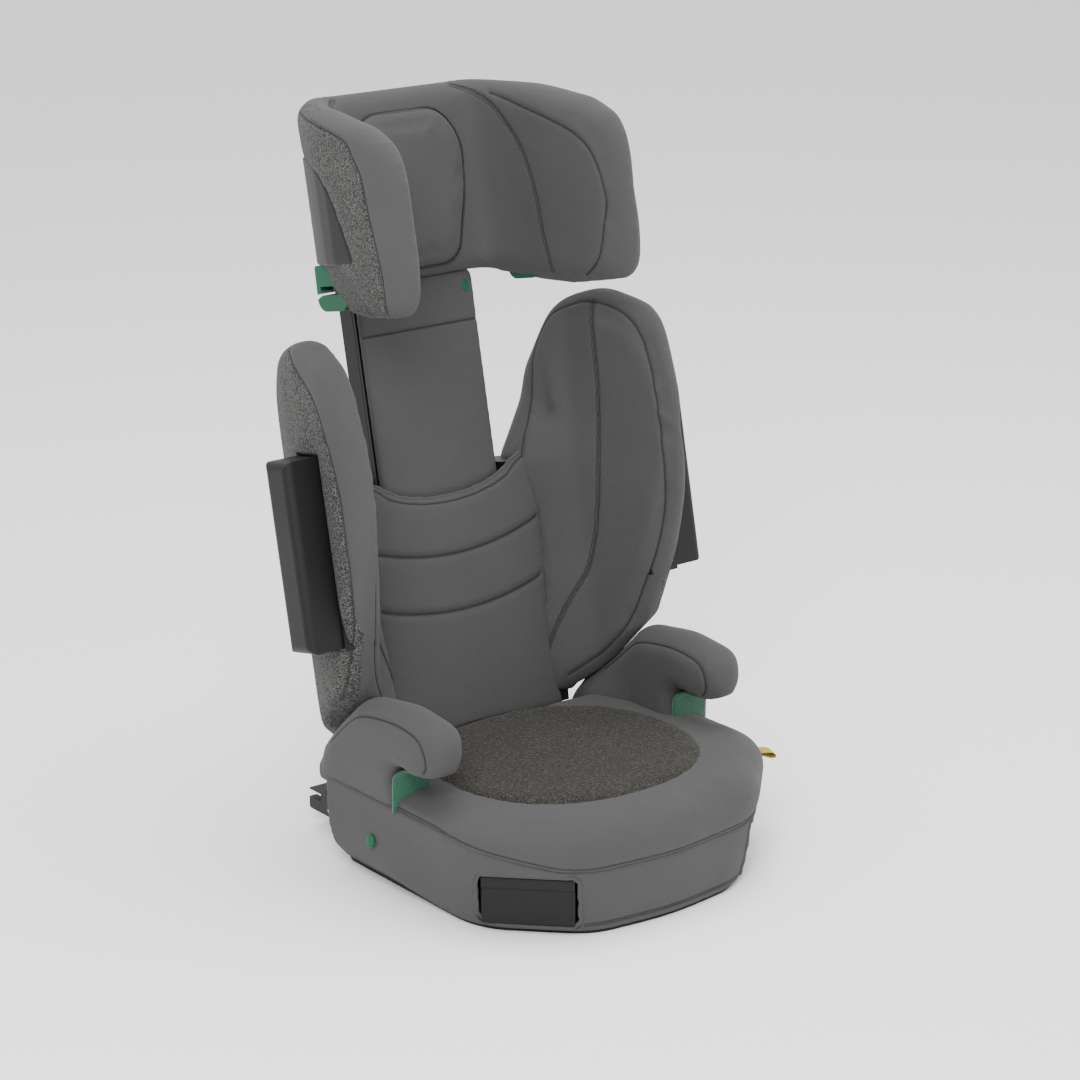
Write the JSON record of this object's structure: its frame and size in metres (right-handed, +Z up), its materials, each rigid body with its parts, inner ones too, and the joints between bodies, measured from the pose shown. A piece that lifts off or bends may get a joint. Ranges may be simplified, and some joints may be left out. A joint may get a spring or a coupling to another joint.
{
  "type": "child booster seat",
  "caption": "High-back child booster seat with height-adjusting winged headrest, shoulder wings, slide-out side pods, lap-belt armrests and corner cup holders.",
  "frame": {"origin": "on the flat underside of the base, at the middle of its width", "axes": "+Z up, the seated child faces -Y, +X to the right seen from the front"},
  "size_m": [0.516, 0.5337, 0.7824],
  "materials": {
    "grey_fabric": "fine knit fabric, warm mid grey, dark seams",
    "melange_fabric": "woven grey melange",
    "foam": "expanded foam",
    "dark_plastic": "near-black moulded plastic, fine satin grain",
    "shell_plastic": "charcoal moulded plastic",
    "green_plastic": "green moulded plastic",
    "green_mesh": "green open-knit lining",
    "steel": "zinc-plated steel"
  },
  "bodies": {
    "base": {"base_shell": "shell_plastic", "side_band": "grey_fabric", "seat_pan": "shell_plastic", "seat_cushion": "grey_fabric", "seat_pad": "melange_fabric", "armrest_core_left": "foam", "armrest_cover_left": "grey_fabric", "belt_gap_liner_left": "green_mesh", "cup_housing_left": "dark_plastic", "hinge_pin_left": "steel", "armrest_core_right": "foam", "armrest_cover_right": "grey_fabric", "belt_gap_liner_right": "green_mesh", "cup_housing_right": "dark_plastic", "hinge_pin_right": "steel"},
    "backrest": {"back_panel": "shell_plastic", "back_rear_shell": "shell_plastic", "spine": "dark_plastic", "spine_screws": "steel", "lower_back_pad": "grey_fabric", "wing_core_left": "foam", "wing_cover_left": "grey_fabric", "pod_housing_left": "dark_plastic", "wing_core_right": "foam", "wing_cover_right": "grey_fabric", "pod_housing_right": "dark_plastic"},
    "headrest": {"headrest_shell": "shell_plastic", "headrest_foam": "foam", "headrest_cover": "grey_fabric", "head_pad": "grey_fabric", "slide_panel_pad": "grey_fabric", "slide_panel_board": "shell_plastic", "headrest_stem": "shell_plastic", "stem_screws": "steel", "lever_pin": "steel", "belt_guide_left": "green_plastic", "belt_guide_right": "green_plastic"},
    "lever": {"adjust_lever": "dark_plastic"},
    "lock": {"lock_bar": "steel"},
    "anchors": {"anchor_frame": "steel", "connector_left": "dark_plastic", "jaw_pin_left": "steel", "connector_right": "dark_plastic", "jaw_pin_right": "steel"},
    "cup_left": {"cup_holder_left": "dark_plastic"},
    "pod_left": {"side_pod_left": "dark_plastic"},
    "hook_left": {"jaw_left": "steel"},
    "button_left": {"release_button_left": "dark_plastic"},
    "cup_right": {"cup_holder_right": "dark_plastic"},
    "pod_right": {"side_pod_right": "dark_plastic"},
    "hook_right": {"jaw_right": "steel"},
    "button_right": {"release_button_right": "dark_plastic"}
  },
  "joints": [
    {"name": "backrest_recline", "type": "hinge", "parent": "base", "child": "backrest", "pos_m": [0, 0.11, 0.075], "axis": [-1, 0, 0], "range_deg": [0, 15]},
    {"name": "headrest_height", "type": "slide", "parent": "backrest", "child": "headrest", "axis": [0, 0.2079, 0.9781], "range_m": [-0.14, 0]},
    {"name": "lever_squeeze", "type": "hinge", "parent": "headrest", "child": "lever", "pos_m": [0, 0.24394, 0.76524], "axis": [1, 0, 0], "range_deg": [-18, 0]},
    {"name": "lock_bar_slide", "type": "slide", "parent": "headrest", "child": "lock", "axis": [0, -0.9781, 0.2079], "range_m": [-0.0074, 0]},
    {"name": "anchor_slide", "type": "slide", "parent": "base", "child": "anchors", "axis": [0, 1, 0], "range_m": [0, 0.12]},
    {"name": "cup_slide_left", "type": "slide", "parent": "base", "child": "cup_left", "axis": [-0.7071, -0.7071, 0], "range_m": [0, 0.075]},
    {"name": "pod_slide_left", "type": "slide", "parent": "backrest", "child": "pod_left", "axis": [1, 0, 0], "range_m": [0, 0.028]},
    {"name": "hook_swing_left", "type": "hinge", "parent": "anchors", "child": "hook_left", "pos_m": [-0.14, 0.134, 0.027], "axis": [1, 0, 0], "range_deg": [0, 25]},
    {"name": "button_slide_left", "type": "slide", "parent": "anchors", "child": "button_left", "axis": [0, -1, 0], "range_m": [0, 0.006], "stiffness_N_per_m": 400},
    {"name": "cup_slide_right", "type": "slide", "parent": "base", "child": "cup_right", "axis": [0.7071, -0.7071, 0], "range_m": [0, 0.075]},
    {"name": "pod_slide_right", "type": "slide", "parent": "backrest", "child": "pod_right", "axis": [-1, 0, 0], "range_m": [0, 0.028]},
    {"name": "hook_swing_right", "type": "hinge", "parent": "anchors", "child": "hook_right", "pos_m": [0.14, 0.134, 0.027], "axis": [1, 0, 0], "range_deg": [0, 25]},
    {"name": "button_slide_right", "type": "slide", "parent": "anchors", "child": "button_right", "axis": [0, -1, 0], "range_m": [0, 0.006], "stiffness_N_per_m": 400}
  ],
  "couplings": [
    {"joint": "lock_bar_slide", "follows": "lever_squeeze", "m_per_rad": 0.023555}
  ]
}
